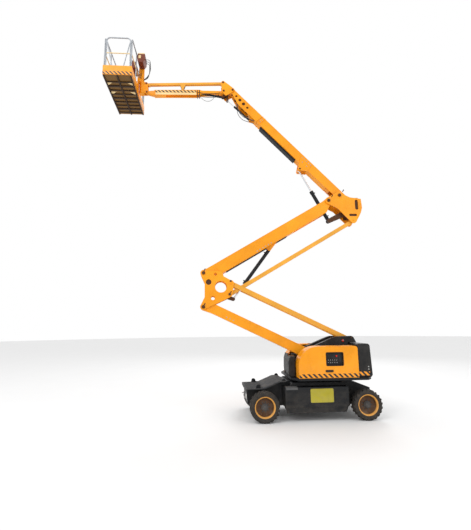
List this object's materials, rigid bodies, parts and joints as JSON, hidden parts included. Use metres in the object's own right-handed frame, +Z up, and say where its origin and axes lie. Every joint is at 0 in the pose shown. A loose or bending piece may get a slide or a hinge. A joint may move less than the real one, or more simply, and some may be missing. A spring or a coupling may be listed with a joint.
{
  "type": "articulating boom lift",
  "caption": "Wheeled aerial work platform: slewing turntable, two stacked riser arms with parallel rods, telescopic main boom, parallelogram jib and a railed platform on a rotator.",
  "frame": {"origin": "on the floor, below the middle of the machine's box with the boom as stored; the slew axis is at x = 1.812", "axes": "+Z up; -X towards the platform and the steered wheels, +X towards the counterweight; +Y towards the platform's gate"},
  "size_m": [7.1137, 1.8, 9.986],
  "materials": {
    "yellow_paint": "glossy yellow-orange paint, worn at the edges",
    "black_paint": "semi-gloss black paint",
    "black_moulding": "textured black moulding",
    "tyre": "dusty rubber",
    "rim": "gold-orange paint",
    "chrome": "hard chrome",
    "steel": "bare machined steel",
    "rail": "silver-grey tube"
  },
  "bodies": {
    "chassis": {"chassis_frame": "black_paint", "front_deck": "black_paint", "front_axle": "black_paint", "rear_axle": "black_paint", "slew_ring": "steel"},
    "left_knuckle": {"steering_knuckle_left": "black_paint"},
    "right_knuckle": {"steering_knuckle_right": "black_paint"},
    "front_left_wheel": {"front_left_tyre": "tyre", "front_left_rim": "rim"},
    "front_right_wheel": {"front_right_tyre": "tyre", "front_right_rim": "rim"},
    "rear_left_wheel": {"rear_left_tyre": "tyre", "rear_left_rim": "rim"},
    "rear_right_wheel": {"rear_right_tyre": "tyre", "rear_right_rim": "rim"},
    "turntable": {"turntable_base": "black_paint", "tower": "yellow_paint", "tower_fairing": "black_moulding", "counterweight": "black_moulding", "engine_block": "black_paint", "tank_and_battery_block": "black_paint", "ground_control_box": "black_moulding", "left_front_cover": "black_moulding", "right_front_cover": "black_moulding"},
    "left_door": {"left_door": "yellow_paint"},
    "right_door": {"right_door": "yellow_paint"},
    "lower_riser": {"lower_riser": "yellow_paint"},
    "lower_rod": {"lower_rod": "yellow_paint"},
    "mid_link": {"mid_link": "yellow_paint"},
    "upper_riser": {"upper_riser": "yellow_paint"},
    "upper_rod": {"upper_rod": "yellow_paint"},
    "top_link": {"top_link": "yellow_paint"},
    "riser_barrel": {"riser_cylinder_barrel": "black_paint"},
    "riser_rod": {"riser_cylinder_rod": "chrome"},
    "main_boom": {"main_boom": "yellow_paint", "hose_tray": "black_paint"},
    "luff_barrel": {"luff_cylinder_barrel": "black_paint"},
    "luff_rod": {"luff_cylinder_rod": "chrome"},
    "boom_extension": {"boom_extension": "yellow_paint"},
    "jib_knuckle": {"jib_knuckle": "yellow_paint"},
    "slave_barrel": {"slave_cylinder_barrel": "black_paint"},
    "slave_rod": {"slave_cylinder_rod": "chrome"},
    "jib_lower_arm": {"jib_lower_arm": "yellow_paint"},
    "jib_upper_arm": {"jib_upper_arm": "yellow_paint"},
    "jib_barrel": {"jib_cylinder_barrel": "black_paint"},
    "jib_rod": {"jib_cylinder_rod": "chrome"},
    "platform_bracket": {"platform_bracket": "yellow_paint"},
    "platform": {"platform_support": "yellow_paint", "platform_floor": "yellow_paint", "front_rail": "rail", "rear_rail": "rail", "left_rail": "rail", "control_console": "black_moulding", "foot_switch": "black_moulding"},
    "gate": {"gate": "rail"}
  },
  "joints": [
    {"name": "slew", "type": "hinge", "parent": "chassis", "child": "turntable", "pos_m": [1.812, 0, 0.93], "axis": [0, 0, 1], "range_deg": [-177.5, 177.5]},
    {"name": "steer_left", "type": "hinge", "parent": "chassis", "child": "left_knuckle", "pos_m": [0.579, -0.56, 0.355], "axis": [0, 0, 1], "range_deg": [-30, 30]},
    {"name": "steer_right", "type": "hinge", "parent": "chassis", "child": "right_knuckle", "pos_m": [0.579, 0.56, 0.355], "axis": [0, 0, 1], "range_deg": [-30, 30]},
    {"name": "front_left_wheel_spin", "type": "hinge", "parent": "left_knuckle", "child": "front_left_wheel", "pos_m": [0.579, -0.77, 0.355], "axis": [0, 1, 0], "continuous": true},
    {"name": "front_right_wheel_spin", "type": "hinge", "parent": "right_knuckle", "child": "front_right_wheel", "pos_m": [0.579, 0.77, 0.355], "axis": [0, 1, 0], "continuous": true},
    {"name": "rear_left_wheel_spin", "type": "hinge", "parent": "chassis", "child": "rear_left_wheel", "pos_m": [3.045, -0.77, 0.355], "axis": [0, 1, 0], "continuous": true},
    {"name": "rear_right_wheel_spin", "type": "hinge", "parent": "chassis", "child": "rear_right_wheel", "pos_m": [3.045, 0.77, 0.355], "axis": [0, 1, 0], "continuous": true},
    {"name": "left_door_hinge", "type": "hinge", "parent": "turntable", "child": "left_door", "pos_m": [1.812, -0.5, 1.715], "axis": [1, 0, 0], "range_deg": [-70, 0]},
    {"name": "right_door_hinge", "type": "hinge", "parent": "turntable", "child": "right_door", "pos_m": [1.812, 0.5, 1.715], "axis": [1, 0, 0], "range_deg": [0, 70]},
    {"name": "riser_lift", "type": "hinge", "parent": "turntable", "child": "lower_riser", "pos_m": [2.192, 0, 1.26], "axis": [0, 1, 0], "range_deg": [-22.7, 34]},
    {"name": "lower_rod_pivot", "type": "hinge", "parent": "turntable", "child": "lower_rod", "pos_m": [2.912, 0, 1.882], "axis": [0, 1, 0], "range_deg": [-22.72, 34.02]},
    {"name": "mid_link_pivot", "type": "hinge", "parent": "lower_riser", "child": "mid_link", "pos_m": [-0.87977, 0, 2.73834], "axis": [0, 1, 0], "range_deg": [-34.02, 22.72]},
    {"name": "upper_riser_pivot", "type": "hinge", "parent": "mid_link", "child": "upper_riser", "pos_m": [-0.87977, 0, 3.63034], "axis": [0, 1, 0], "range_deg": [-38.2, 25.51]},
    {"name": "upper_rod_pivot", "type": "hinge", "parent": "mid_link", "child": "upper_rod", "pos_m": [-0.19377, 0, 3.06334], "axis": [0, 1, 0], "range_deg": [-38.2, 25.51]},
    {"name": "top_link_pivot", "type": "hinge", "parent": "upper_riser", "child": "top_link", "pos_m": [2.60724, 0, 5.68435], "axis": [0, 1, 0], "range_deg": [-25.51, 38.2]},
    {"name": "riser_barrel_pivot", "type": "hinge", "parent": "upper_riser", "child": "riser_barrel", "pos_m": [0.91533, 0, 4.30475], "axis": [0, 1, 0], "range_deg": [-8.52, 5.7]},
    {"name": "riser_rod_slide", "type": "slide", "parent": "riser_barrel", "child": "riser_rod", "axis": [-0.5938, 0, -0.8046], "range_m": [-0.45085, 0.67478]},
    {"name": "boom_luff", "type": "hinge", "parent": "top_link", "child": "main_boom", "pos_m": [2.92724, 0, 5.84135], "axis": [0, 1, 0], "range_deg": [-41.7, 26]},
    {"name": "luff_barrel_pivot", "type": "hinge", "parent": "top_link", "child": "luff_barrel", "pos_m": [2.63524, 0, 5.14035], "axis": [0, 1, 0], "range_deg": [-29.31, 18.29]},
    {"name": "luff_rod_slide", "type": "slide", "parent": "luff_barrel", "child": "luff_rod", "axis": [-0.466, 0, 0.8848], "range_m": [-0.47221, 0.2948]},
    {"name": "telescope", "type": "slide", "parent": "main_boom", "child": "boom_extension", "axis": [-0.6984, 0, 0.7157], "range_m": [0, 2.3]},
    {"name": "knuckle_level", "type": "hinge", "parent": "boom_extension", "child": "jib_knuckle", "pos_m": [-0.05655, 0, 9.05932], "axis": [0, 1, 0], "range_deg": [-26.02, 41.72]},
    {"name": "slave_barrel_pivot", "type": "hinge", "parent": "boom_extension", "child": "slave_barrel", "pos_m": [0.44885, 0, 8.17344], "axis": [0, 1, 0], "range_deg": [-1.32, 2.1]},
    {"name": "slave_rod_slide", "type": "slide", "parent": "slave_barrel", "child": "slave_rod", "axis": [-0.7232, 0, 0.6906], "range_m": [-0.12486, 0.19966]},
    {"name": "jib_luff", "type": "hinge", "parent": "jib_knuckle", "child": "jib_lower_arm", "pos_m": [-0.31655, 0, 9.01932], "axis": [0, 1, 0], "range_deg": [-60, 60]},
    {"name": "jib_upper_pivot", "type": "hinge", "parent": "jib_knuckle", "child": "jib_upper_arm", "pos_m": [-0.33655, 0, 9.28932], "axis": [0, 1, 0], "range_deg": [-60.02, 60.02]},
    {"name": "jib_barrel_pivot", "type": "hinge", "parent": "jib_knuckle", "child": "jib_barrel", "pos_m": [-0.34655, 0, 8.89932], "axis": [0, 1, 0], "range_deg": [-62.56, 62.56]},
    {"name": "jib_rod_slide", "type": "slide", "parent": "jib_barrel", "child": "jib_rod", "axis": [-0.9857, 0, 0.1685], "range_m": [-0.337, 0.337]},
    {"name": "bracket_level", "type": "hinge", "parent": "jib_lower_arm", "child": "platform_bracket", "pos_m": [-2.54655, 0, 8.95932], "axis": [0, 1, 0], "range_deg": [-60.02, 60.02]},
    {"name": "platform_rotate", "type": "hinge", "parent": "platform_bracket", "child": "platform", "pos_m": [-2.69155, 0, 9.2], "axis": [0, 0, 1], "range_deg": [-80, 80]},
    {"name": "gate_hinge", "type": "hinge", "parent": "platform", "child": "gate", "pos_m": [-3.49455, 0.874, 9.4], "axis": [0, 0, 1], "range_deg": [-90, 0]}
  ],
  "couplings": [
    {"joint": "steer_right", "follows": "steer_left", "ratio": 1},
    {"joint": "lower_rod_pivot", "follows": "riser_lift", "ratio": 1},
    {"joint": "mid_link_pivot", "follows": "riser_lift", "ratio": -1},
    {"joint": "upper_riser_pivot", "follows": "riser_lift", "ratio": -1.123},
    {"joint": "upper_rod_pivot", "follows": "riser_lift", "ratio": -1.123},
    {"joint": "top_link_pivot", "follows": "riser_lift", "ratio": 1.123},
    {"joint": "riser_barrel_pivot", "follows": "riser_lift", "ratio": -0.25},
    {"joint": "riser_rod_slide", "follows": "riser_lift", "m_per_rad": 1.1354},
    {"joint": "luff_barrel_pivot", "follows": "boom_luff", "ratio": 0.7025},
    {"joint": "luff_rod_slide", "follows": "boom_luff", "m_per_rad": 0.64744},
    {"joint": "knuckle_level", "follows": "boom_luff", "ratio": -1},
    {"joint": "slave_barrel_pivot", "follows": "boom_luff", "ratio": -0.05},
    {"joint": "slave_rod_slide", "follows": "boom_luff", "m_per_rad": -0.27296},
    {"joint": "jib_upper_pivot", "follows": "jib_luff", "ratio": 1},
    {"joint": "jib_barrel_pivot", "follows": "jib_luff", "ratio": 1.0423},
    {"joint": "jib_rod_slide", "follows": "jib_luff", "m_per_rad": 0.32086},
    {"joint": "bracket_level", "follows": "jib_luff", "ratio": -1}
  ]
}
